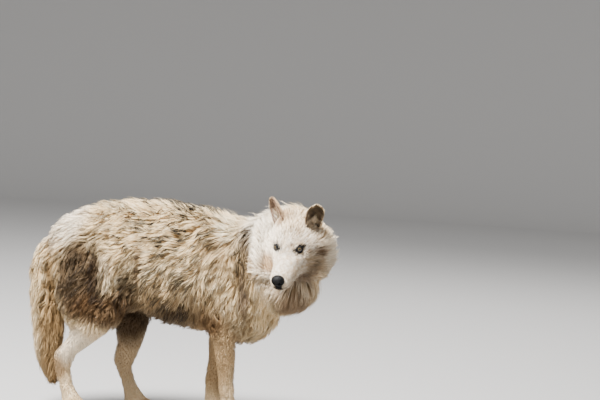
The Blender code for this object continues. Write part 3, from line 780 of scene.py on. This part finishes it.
HEAD_PATCHES = {
    "forehead": ((-0.060, 0.004, 0.060), (0.060, 0.050, 0.050), CREAM, 0.60, 1.0),
    # Painted shade on the lower left cheek, the side of the head turned from the key light.
    "cheek_sand_shade": ((-0.028, 0.080, -0.070), (0.045, 0.050, 0.050), SAND, 0.55, 1.0),
    "ruff_left": ((-0.090, 0.130, -0.065), (0.055, 0.065, 0.080), WHITE, 0.90, 0.8),
    "cheek_spot": ((-0.043, 0.092, -0.034), (0.026, 0.040, 0.019), BROWN, 0.95, 1.0),
    "cheek_streak": ((-0.010, 0.075, -0.016), (0.022, 0.030, 0.010), SHADE, 0.50, 1.0),
    # Brownish streaks and painted shade on the lower left cheek.
    "cheek_low_shade": ((-0.020, 0.080, -0.085), (0.030, 0.040, 0.030), BROWN, 0.45, 1.0),
    "ear_front": ((-0.072, 0.074, 0.066), (0.022, 0.026, 0.024), BROWN, 0.90, 0.9),
    # Painted shade under the jaw.
    "jaw": ((0.000, 0.045, -0.115), (0.045, 0.050, 0.030), BROWN, 0.80, 1.0),
    # Tan cheek, with painted shadow where it meets the muzzle.
    "cheek_right_tan_shadow": ((0.016, -0.070, -0.064), (0.040, 0.036, 0.040), TAN, 0.85, 0.9),
    "ear_right": ((-0.085, -0.056, 0.095), (0.060, 0.040, 0.060), TAN, 0.75, 0.7),
    # Painted shade on the left side of the muzzle, away from the key light.
    "muzzle_side_shade": ((0.070, 0.040, -0.050), (0.040, 0.022, 0.020), SAND, 0.45, 1.0),
    "brow_left": ((0.006, 0.022, 0.014), (0.007, 0.005, 0.012), GREY, 0.85, 1.0),
    "brow_right": ((0.006, -0.022, 0.014), (0.007, 0.005, 0.010), GREY, 0.60, 1.0),
    "bridge": ((0.024, 0.006, 0.000), (0.034, 0.018, 0.022), GREY, 0.30, 1.0),
    "forehead_line": ((-0.035, 0.004, 0.040), (0.050, 0.010, 0.040), GREY, 0.40, 1.0),
}
patches = [(body_place(*place), *rest) for place, *rest in BODY_PATCHES.values()]
patches += [(head_place(*place), *rest) for place, *rest in HEAD_PATCHES.values()]


def value_map(tree, source, *ends):
    """A smooth map of a value from one range to another, by both ends of each."""
    node = add_node(tree, "ShaderNodeMapRange", interpolation_type="SMOOTHSTEP")
    for name, value in zip(("From Min", "From Max", "To Min", "To Max"), ends):
        node.inputs[name].default_value = value
    tree.links.new(source, node.inputs["Value"])
    return node.outputs["Result"]


def math_node(tree, operation, *values, kind="ShaderNodeMath", output="Value"):
    node = add_node(tree, kind, operation=operation)
    for socket, value in zip(node.inputs, values):
        feed(tree, socket, value)
    return node.outputs[output]


def vector_node(operation, *values, output="Vector"):
    return math_node(markings, operation, *values, kind="ShaderNodeVectorMath", output=output)


WANDER = 0.045  # how far a patch's edge wanders
markings = bpy.data.node_groups.new("wolf_markings", "ShaderNodeTree")
for name, way, kind in (("Root", "INPUT", "Vector"), ("Ear Hollow", "INPUT", "Float"),
                        ("Dark Line", "INPUT", "Float"), ("Colour", "OUTPUT", "Color"),
                        ("Ticking", "OUTPUT", "Float")):
    markings.interface.new_socket(name, in_out=way, socket_type="NodeSocket" + kind)
given = add_node(markings, "NodeGroupInput")
root = given.outputs["Root"]
wander = noise_value(markings, root, 26.0, 3.0, "Color")
centred = vector_node("SUBTRACT", wander, (0.5, 0.5, 0.5))
warped = vector_node("ADD", root, vector_node("MULTIPLY", centred, (WANDER, WANDER, WANDER)))
colour = by_ramp(markings, noise_value(markings, root, 60.0, 3.0), [
    (0.36, (0.700, 0.500, 0.265)),
    (0.52, (0.800, 0.615, 0.360)),
    (0.66, (0.880, 0.735, 0.490)),
])


def patch_mask(middle_point, half, strength, soft, place):
    """1 inside an ellipsoid and 0 outside it, with a soft edge."""
    away = vector_node("SUBTRACT", place, middle_point)
    length = vector_node("LENGTH", vector_node("DIVIDE", away, half), output="Value")
    return value_map(markings, length, 1.25 - 0.9 * soft, 1.25, strength, 0.0)


white_face = patch_mask(head_place(0.02, 0.0, -0.01), (0.17, 0.16, 0.17), 0.95, 0.9, root)
colour = mix_colour(markings, white_face, colour, (0.880, 0.800, 0.690))
face_tone = by_ramp(markings, noise_value(markings, root, 95.0, 3.0),
                    [(0.40, (0.76, 0.66, 0.54)), (0.58, (1.0, 1.0, 1.0))])
colour = mix_colour(markings, white_face, colour, face_tone, "MULTIPLY")
for middle_point, half, tint, strength, soft in patches:
    small = max(half) < 0.012
    mask = patch_mask(middle_point, half, strength, soft, root if small else warped)
    colour = mix_colour(markings, mask, colour, tint)
# Dark brown ear hollows: the ear's inner colour, darkened with painted shade in the hollow.
ear_hollow_shade = by_ramp(markings, noise_value(markings, root, 60.0, 2.0),
                     [(0.38, (0.030, 0.018, 0.010)), (0.62, (0.130, 0.078, 0.040))])
ear_right = patch_mask(head_place(-0.09, -0.06, 0.08), (0.06, 0.05, 0.07), 0.85, 0.3, root)
ear_tint = mix_colour(markings, ear_right, ear_hollow_shade, (0.310, 0.200, 0.135))
ear_mask = value_map(markings, given.outputs["Ear Hollow"], 0.25, 0.9, 0.0, 0.92)
colour = mix_colour(markings, ear_mask, colour, ear_tint)
# Black lids and lips, with the painted shadow under the nose.
line_mask = value_map(markings, given.outputs["Dark Line"], 0.15, 0.70, 0.0, 1.0)
colour = mix_colour(markings, line_mask, colour, (0.004, 0.003, 0.003))

# Ticking is where the guard hairs have dark tips: back, flanks and haunches.
ticking = 0.0
for middle_point, half, strength in (
    (body_place(0.02, 0.0, 0.66), (0.28, 0.30, 0.15), 1.0),
    (body_place(0.10, 0.0, 0.50), (0.24, 0.30, 0.16), 0.9),
    (body_place(-0.20, 0.0, 0.48), (0.15, 0.30, 0.16), 0.8),
    (body_place(0.31, -0.14, 0.64), (0.05, 0.14, 0.14), 1.0),
):
    mask = patch_mask(middle_point, half, strength, 0.7, warped)
    ticking = math_node(markings, "MAXIMUM", ticking, mask)
result = add_node(markings, "NodeGroupOutput")
markings.links.new(colour, result.inputs["Colour"])
markings.links.new(ticking, result.inputs["Ticking"])


def attribute(tree, name, output="Fac"):
    return add_node(tree, "ShaderNodeAttribute", attribute_name=name).outputs[output]


def place_markings(tree):
    """The markings group in a material, fed by the piece's own attributes."""
    node = add_node(tree, "ShaderNodeGroup", node_tree=markings)
    tree.links.new(attribute(tree, "root", "Vector"), node.inputs["Root"])
    tree.links.new(attribute(tree, "ear_hollow"), node.inputs["Ear Hollow"])
    tree.links.new(attribute(tree, "dark_line"), node.inputs["Dark Line"])
    return node


skin_finish, tree, shader = new_material("wolf_skin", {
    "Roughness": 0.75, "Specular IOR Level": 0.20,
})
marks = place_markings(tree)
short_hair = noise_value(tree, attribute(tree, "root", "Vector"), 700.0, 3.0)
shade = by_ramp(tree, short_hair, [(0.3, (0.70, 0.70, 0.70)), (0.7, (1.0, 1.0, 1.0))])
toned = mix_colour(tree, 1.0, marks.outputs["Colour"], shade, "MULTIPLY")
tree.links.new(toned, shader.inputs["Base Color"])
raise_bumps(tree, shader, short_hair, 0.6, 0.0006)
skin.data.materials.append(skin_finish)

select_only(skin)
for layer in list(skin.data.uv_layers):
    skin.data.uv_layers.remove(layer)
skin.data.uv_layers.new(name="OFBake")
bpy.ops.object.mode_set(mode="EDIT")
bpy.ops.mesh.select_all(action="SELECT")
bpy.ops.uv.smart_project(angle_limit=math.radians(66), island_margin=0.001)
bpy.ops.object.mode_set(mode="OBJECT")

# ---- Coat
# Locks of guard hair, each a thin solid blade that is rooted in the skin, follows the lie of the
# coat and ends at the coat's outline. Neighbouring locks lean together into tufts.

rng = np.random.default_rng(20)
skin.data.calc_loop_triangles()
corner = read_rows(skin.data.loop_triangles, "vertices", 3, int)
loops = read_rows(skin.data.loop_triangles, "loops", 3, int)
corner_uv = read_rows(skin.data.uv_layers["OFBake"].data, "uv", 2)[loops]
sides = skin_points[corner[:, 1:]] - skin_points[corner[:, :1]]
areas = np.linalg.norm(np.cross(sides[:, 0], sides[:, 1]), axis=1) / 2
smooth_normals = unit(spread(skin, skin_normals, 3))
places = in_body(skin_points)
faces_at = in_head(skin_points)
nose_at = np.array([0.150, 0.0, -0.040])

# The lie of the coat: off the nose over the head, down the neck and chest, back along the trunk
# and down each leg.
x, y, z = places.T
low_part = rise(-z, -0.66, -0.44)
rump = rise(-x, 0.28, 0.40)
away_from_nose = unit(skin_points - (np.array(brow) + nose_at @ head_axes))
top_of_neck = rise(z, 0.66, 0.76)[:, None]
on_toes = rise(-z, -0.09, -0.04)


def straight_way(ahead, up):
    """Ways that lie along the body and up, with nothing across it."""
    return unit(np.column_stack([0 * x + ahead, 0 * x, 0 * x + up]))


paw_way = straight_way(on_toes, -1.0 + 0.6 * on_toes)
ways = {
    "head": away_from_nose,
    "lower_jaw": away_from_nose,
    "neck": unit((1 - top_of_neck) * [-0.25, 0.10, -1.0] + top_of_neck * [-1.0, 0.45, -0.15]),
    "trunk": straight_way((-1.05 + 0.75 * low_part) * (1 - 0.75 * rump),
                          -0.22 - 0.75 * np.maximum(low_part, rump)),
    "tail": straight_way(-0.15, -1),
    "foreleg": straight_way(-0.18, -1),
    "hindleg": straight_way(-0.62 * rise(z, 0.20, 0.40), -1),
    "forepaw": paw_way,
    "hindpaw": paw_way,
    "ear": unit(np.tile(np.array(head_up - 0.25 * head_ahead), (len(x), 1))),
}
lie = np.zeros_like(skin_points)
for word, way in ways.items():
    own = ear_share if word == "ear" else share_of(shares, word)
    lie += own[:, None] * way
for rounds in (12, 0):
    lie -= (lie * smooth_normals).sum(1)[:, None] * smooth_normals
    lie = spread(skin, unit(lie), rounds)


def drift(points, size, seed):
    """A smooth random value about -1 to 1 that changes over a distance."""
    waves = np.random.default_rng(seed)
    total = np.zeros(len(points))
    for _ in range(7):
        way = waves.normal(size=3)
        way *= 2 * math.pi / size * waves.uniform(0.6, 1.5) / np.linalg.norm(way)
        total += np.sin(points @ way + waves.uniform(0, 2 * math.pi))
    return total / 2.6


# Hair length, tuft spacing, lock width and lock spacing over the skin, in metres.
ahead, left, up = faces_at.T
nose_away = np.linalg.norm(faces_at - nose_at, axis=1)
ear_base = np.linalg.norm(np.abs(faces_at) - [0.070, 0.060, 0.055], axis=1)
before_ear = 1 - rise(ear_base, 0.022, 0.048)
longer = np.maximum(rise(-ahead, 0.045, 0.10), rise(abs(left), 0.070, 0.105))
longer = np.maximum(longer * (1 - 0.35 * rise(up, 0.03, 0.07)), rise(-up, 0.095, 0.125))
longer *= (1 - 0.75 * before_ear) * (1 - 0.45 * rise(-ahead, 0.105, 0.150))
length = 0.006 + 0.012 * rise(nose_away, 0.10, 0.17) + 0.042 * longer
head_hair = (length, 0.0025 + 0.14 * length, 0.0009 + 0.017 * length, 0.00185 + 0.029 * length)


def leg_hair(upper, longest):
    """Short below, and longer and coarser where upper nears 1."""
    return (0.016 + longest * upper, 0.005 + 0.0055 * upper, 0.0014 + 0.0007 * upper,
            0.0032 + 0.0016 * upper)


paw_hair = (0.012, 0.005, 0.0014, 0.0028)
HAIR = {
    # word: length, tuft, width, spacing
    "head": head_hair,
    "lower_jaw": head_hair,
    "neck": (0.080, 0.0095, 0.0019, 0.0042),
    "trunk": (0.052, 0.0084, 0.0020, 0.0046),
    "tail": (0.078, 0.0090, 0.0021, 0.0040),
    "foreleg": leg_hair(rise(z, 0.28, 0.46), 0.040),
    "hindleg": leg_hair(rise(z, 0.27, 0.42), 0.036),
    "forepaw": paw_hair,
    "hindpaw": paw_hair,
    "ear_": (0.0150, 0.004, 0.0012, 0.0023),
}
hair_length, tuft_spacing, lock_width, lock_spacing = (
    sum(share_of(shares, word) * values[column] for word, values in HAIR.items())
    for column in range(4)
)
sole = 1 - rise(z, 0.004, 0.014)
bald = np.maximum(bare, sole)
nose_ring = np.linalg.norm((faces_at - [0.136, 0, -0.038]) / [0.0208, 0.0246, 0.0220], axis=1)
bald = np.maximum(bald, 1 - rise(nose_ring, 0.94, 1.04))
HIGHEST_TIP = 0.055  # over the skin
least_rise = 0.0008 + (0.08 + 0.07 * share_of(shares, "head")) * hair_length
rise_of_tip = np.clip(gap_below[:, 0], least_rise, HIGHEST_TIP)
rise_of_tip = spread(skin, rise_of_tip[:, None], 6)[:, 0] + 0.0024 * ear_share


def sow(spacing, share_wanted):
    """Random places on the skin, as triangle numbers and weights of their corners."""
    per_triangle = areas / spacing[corner].mean(1) ** 2 * share_wanted[corner].mean(1)
    total = int(per_triangle.sum())
    triangle = rng.choice(len(areas), total, p=per_triangle / per_triangle.sum())
    a, b = rng.random((2, total))
    over = a + b > 1
    a[over], b[over] = 1 - a[over], 1 - b[over]
    return triangle, np.column_stack([1 - a - b, a, b])


def at(values, triangle, weight):
    return np.einsum("nk,nk...->n...", weight, values[corner[triangle]])


PITCH = 0.004  # of the grid at its middle level; each level is a quarter of a doubling


def thinned(points, spacing):
    """Keeps one point in each cell of a grid whose pitch is the local spacing."""
    level = np.round(np.log2(spacing / PITCH) * 4)
    pitch = PITCH * 2 ** (level / 4)
    cell = np.column_stack([level, np.floor(points / pitch[:, None])]).astype(int)
    _, first = np.unique(cell, axis=0, return_index=True)
    return np.sort(first)


TUFT_POINTS = 4  # a tuft's middle line, from root to tip
STEPS_EACH = 2

triangle, weight = sow(tuft_spacing / 2.2, np.ones(len(skin_points)))
keep = thinned(at(skin_points, triangle, weight), at(tuft_spacing, triangle, weight) * 1.05)
triangle, weight = triangle[keep], weight[keep]
tuft_root = at(skin_points, triangle, weight)
tuft_length = at(hair_length, triangle, weight) * rng.uniform(0.82, 1.15, len(keep))


def search_tree(points):
    made = KDTree(len(points))
    for i, point in enumerate(points):
        made.insert(point, i)
    made.balance()
    return made


def nearest(tree, points):
    return np.array([tree.find(point)[1] for point in points])


skin_tree = search_tree(skin_points)
wave_size = rise(tuft_length, 0.036, 0.048) * (1 - rise(tuft_length, 0.056, 0.063))
on_tail = at(share_of(shares, "tail"), triangle, weight)
yaw = 0.30 * (1 - 0.7 * on_tail) * drift(tuft_root, 0.09, 3) + rng.normal(0, 0.10, len(keep))
wave_start = 2.2 * drift(tuft_root, 0.14, 5) + rng.normal(0, 0.5, len(keep))
tuft_path = np.zeros((len(keep), TUFT_POINTS, 3))
tuft_up = np.zeros((len(keep), TUFT_POINTS, 3))
tuft_depth = np.zeros((len(keep), TUFT_POINTS))
spot = tuft_root.copy()
total_steps = (TUFT_POINTS - 1) * STEPS_EACH
for step in range(total_steps + 1):
    near = nearest(skin_tree, spot)
    over = smooth_normals[near]
    spot -= ((spot - skin_points[near]) * over).sum(1)[:, None] * over
    if step % STEPS_EACH == 0:
        tuft_path[:, step // STEPS_EACH] = spot
        tuft_up[:, step // STEPS_EACH] = over
        tuft_depth[:, step // STEPS_EACH] = rise_of_tip[near]
    share = step / total_steps
    turn = yaw + wave_size * 0.38 * np.cos(2 * math.pi * 1.05 * share + wave_start)
    beside = np.cross(over, lie[near])
    way = lie[near] * np.cos(turn)[:, None] + beside * np.sin(turn)[:, None]
    spot = spot + way * (tuft_length / total_steps)[:, None]
TICKED = 0.72  # tufts above this tone carry dark tips where the coat is ticked
tuft_tone = np.clip(rng.random(len(keep)) + 0.16 * drift(tuft_root, 0.10, 8), 0, 1)

RISE_AT = np.array([0.0, 0.50, 0.84, 1.0])  # height over the skin along a lock
WIDTH_AT = np.array([0.85, 1.0, 0.70])
ROOT_DEPTH = 0.0015  # of a lock's root, under the skin
ROLL = 0.35  # spread of a lock's turn about its own line
THICK = 0.62  # of half a lock's width
OVER_FLOOR = 0.0004  # least height of any lock
PATCH = 0.003  # a lock's own patch in the bake map
COVERS_FROM_ROOT = 0.7  # a lock takes its colour from the place it covers, not from its root


def lock_mesh(name, roots, root_up, root_uv, tuft, width, gather, stray, lift, full, extras):
    """A mesh of three-sided locks that taper to a point, each along its tuft's line."""
    count = len(roots)
    levels = TUFT_POINTS if full else TUFT_POINTS - 1
    pick = np.arange(TUFT_POINTS) if full else np.array([0, 1, 3])
    along = pick / (TUFT_POINTS - 1)
    path = tuft_path[tuft][:, pick]
    ups = tuft_up[tuft][:, pick]
    offset = (roots - tuft_path[tuft, 0])[:, None, :] * (1 - gather[:, None] * along)[:, :, None]
    length = tuft_length[tuft][:, None, None]
    jitter = np.clip(rng.normal(0, 1, (count, 1, 3)), -1.8, 1.8) * stray[:, None, None]
    jitter = jitter * along[None, :, None] * length
    height = tuft_depth[tuft][:, pick] * RISE_AT[pick] * lift[:, None]
    line = path + offset + jitter + ups * height[:, :, None]
    line[:, 0] = roots - ROOT_DEPTH * root_up
    ahead_of = np.gradient(line, axis=1)
    roll = rng.normal(0, ROLL, count)
    beside = unit(np.cross(ups, ahead_of))
    beside = beside * np.cos(roll)[:, None, None] + ups * np.sin(roll)[:, None, None]
    over = unit(np.cross(ahead_of, beside))
    rings = levels - 1
    half = width[:, None, None] * WIDTH_AT[pick[:-1]][None, :, None] / 2
    thick = half * THICK
    body = line[:, :-1]
    one = body - beside[:, :-1] * half
    two = body + beside[:, :-1] * half
    top = body + over[:, :-1] * thick
    ring_points = np.stack([one, two, top], axis=2).reshape(count, rings * 3, 3)
    points = np.concatenate([ring_points, line[:, -1:]], axis=1)
    points[:, :, 2] = np.maximum(points[:, :, 2], OVER_FLOOR)
    each = rings * 3 + 1
    faces = [(2, 1, 0)]
    for r in range(rings - 1):
        for s in range(3):
            a, b = 3 * r + s, 3 * r + (s + 1) % 3
            faces.append((a, b, b + 3, a + 3))
    last = 3 * (rings - 1)
    for s in range(3):
        faces.append((last + s, last + (s + 1) % 3, each - 1))
    starts = np.arange(count)[:, None] * each
    index = np.concatenate([(np.array(f)[None, :] + starts) for f in faces], axis=1)
    sizes = np.tile([len(f) for f in faces], count)
    mesh = bpy.data.meshes.new(name)
    mesh.vertices.add(count * each)
    mesh.vertices.foreach_set("co", points.astype(np.float32).ravel())
    mesh.loops.add(index.size)
    mesh.loops.foreach_set("vertex_index", index.ravel().astype(np.int32))
    mesh.polygons.add(len(sizes))
    mesh.polygons.foreach_set("loop_start", (np.cumsum(sizes) - sizes).astype(np.int32))
    mesh.polygons.foreach_set("loop_total", sizes.astype(np.int32))
    mesh.update(calc_edges=True)
    mesh.polygons.foreach_set("use_smooth", np.ones(len(sizes), bool))
    made = add_object(name, mesh)
    along_points = np.append(np.repeat(along[:-1], 3), 1.0)
    across = np.append(np.tile([-0.5, 0.5, 0.0], rings), 0.0)
    uv_points = root_uv[:, None, :] + PATCH * np.stack([across, along_points - 0.5], 1)[None]
    uv_points = uv_points.reshape(-1, 2)[index.ravel()].astype(np.float32)
    mesh.uv_layers.new(name="OFBake").data.foreach_set("uv", uv_points.ravel())
    covered = roots + COVERS_FROM_ROOT * (tuft_path[tuft, 2] - tuft_path[tuft, 0])
    store(made, "root", np.repeat(covered, each, axis=0), "FLOAT_VECTOR")
    store(made, "along", np.tile(along_points, count))
    for key, values in extras.items():
        store(made, key, np.repeat(values, each))
    return made


triangle, weight = sow(lock_spacing, 1 - bald)
lock_root = at(skin_points, triangle, weight)
lock_uv = np.einsum("nk,nkd->nd", weight, corner_uv[triangle])
lock_up = unit(at(smooth_normals, triangle, weight))
lock_tuft = nearest(search_tree(tuft_root), lock_root)
lock_region = at(shares, triangle, weight).argmax(1)
lock_length = tuft_length[lock_tuft]
lock_face = at(faces_at, triangle, weight)

finish_coat, tree, shader = new_material("wolf_coat", {
    "Roughness": 0.70, "Specular IOR Level": 0.15,
})
marks = place_markings(tree)
along = attribute(tree, "along")
own_tone = attribute(tree, "lock_tone")
shared_tone = attribute(tree, "tuft_tone")
lighter = value_map(tree, own_tone, 0.0, 1.0, 0.86, 1.10)
toned = mix_colour(tree, 1.0, marks.outputs["Colour"], lighter, "MULTIPLY")
# Each lock darker and browner towards its root: partly a browner undercoat, partly painted shade
# among the hairs.
root_shade_tone = by_ramp(tree, along, [
    (0.00, (0.62, 0.52, 0.40)),
    (0.32, (0.90, 0.85, 0.77)),
    (0.70, (1.00, 1.00, 1.00)),
])
toned = mix_colour(tree, 1.0, toned, root_shade_tone, "MULTIPLY")
by_tuft = value_map(tree, shared_tone, 0.0, 0.8, 0.88, 1.04)
toned = mix_colour(tree, 1.0, toned, by_tuft, "MULTIPLY")
near_tip = value_map(tree, along, 0.10, 0.40, 0.0, 1.0)
dark_tuft = value_map(tree, shared_tone, TICKED - 0.01, TICKED + 0.01, 0.0, 0.97)
dark_lock = value_map(tree, own_tone, 0.10, 0.25, 0.3, 1.0)
tipped = math_node(tree, "MULTIPLY", near_tip, marks.outputs["Ticking"])
tipped = math_node(tree, "MULTIPLY", tipped, dark_tuft)
tipped = math_node(tree, "MULTIPLY", tipped, dark_lock)
toned = mix_colour(tree, tipped, toned, (0.007, 0.004, 0.002))
tree.links.new(toned, shader.inputs["Base Color"])

LONG_LOCK = 0.024  # longer locks bend at two places, shorter ones at one
is_long = lock_length > LONG_LOCK
names = np.array(REGIONS)[lock_region]
on_head = np.isin(names, ["head", "lower_jaw"])
front_half = at(places, triangle, weight)[:, 0] > -0.02
right_half = at(places, triangle, weight)[:, 1] < 0
sets = {
    "coat_face": ~is_long & on_head,
    "coat_ruff": is_long & on_head,
    "coat_ears": np.isin(names, EARS),
    "coat_neck_right": (names == "neck") & (lock_face[:, 1] < 0.0),
    "coat_neck_left": (names == "neck") & (lock_face[:, 1] >= 0.0),
}
for end, at_end in (("front", front_half), ("rear", ~front_half)):
    for side, at_side in (("right", right_half), ("left", ~right_half)):
        sets[f"coat_trunk_{end}_{side}"] = (names == "trunk") & at_end & at_side
sets["coat_tail"] = names == "tail"
for limb in ("foreleg", "hindleg"):
    for side in ("right", "left"):
        chosen = names == f"{limb}_{side}"
        sets[f"coat_{limb}_{side}_upper"] = chosen & is_long
        sets[f"coat_{limb}_{side}_lower"] = (chosen & ~is_long) | (
            names == f"{limb.replace('leg', 'paw')}_{side}")
for name, chosen in sets.items():
    chosen = np.flatnonzero(chosen)
    full = is_long[chosen].mean() > 0.5
    own_width = at(lock_width, triangle[chosen], weight[chosen])
    own_width *= rng.uniform(0.75, 1.2, len(chosen))
    gather = rng.uniform(0.0, 0.35, len(chosen)) if full else rng.uniform(0.2, 0.55, len(chosen))
    on_top = (tuft_tone[lock_tuft[chosen]] > TICKED) & full & ("trunk" in name or "hindleg" in name)
    gather = np.where(on_top, 0.65, gather)
    own_width *= np.where(on_top, 1.35, 1.0)
    stray = np.where(rng.random(len(chosen)) < 0.08, 0.10, 0.026)
    if "neck" in name or "ruff" in name:
        stray *= 1.6
    lift = np.where(on_top, 1.28, rng.uniform(0.80, 1.12, len(chosen)))
    extras = {
        "lock_tone": rng.random(len(chosen)),
        "tuft_tone": tuft_tone[lock_tuft[chosen]],
        "ear_hollow": at(hollow, triangle[chosen], weight[chosen]),
        "dark_line": at(dark_line, triangle[chosen], weight[chosen]),
    }
    piece = lock_mesh(name, lock_root[chosen], lock_up[chosen], lock_uv[chosen], lock_tuft[chosen],
                      own_width, gather, stray, lift, full, extras)
    piece.data.materials.append(finish_coat)
    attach(piece, "root")

# ---- Sizes
# The wolf's box as packed and as made here, side by side.

size = {
    "cad": [list(corner) for corner in cad_box],
    "visual": [list(corner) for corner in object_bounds()],
}
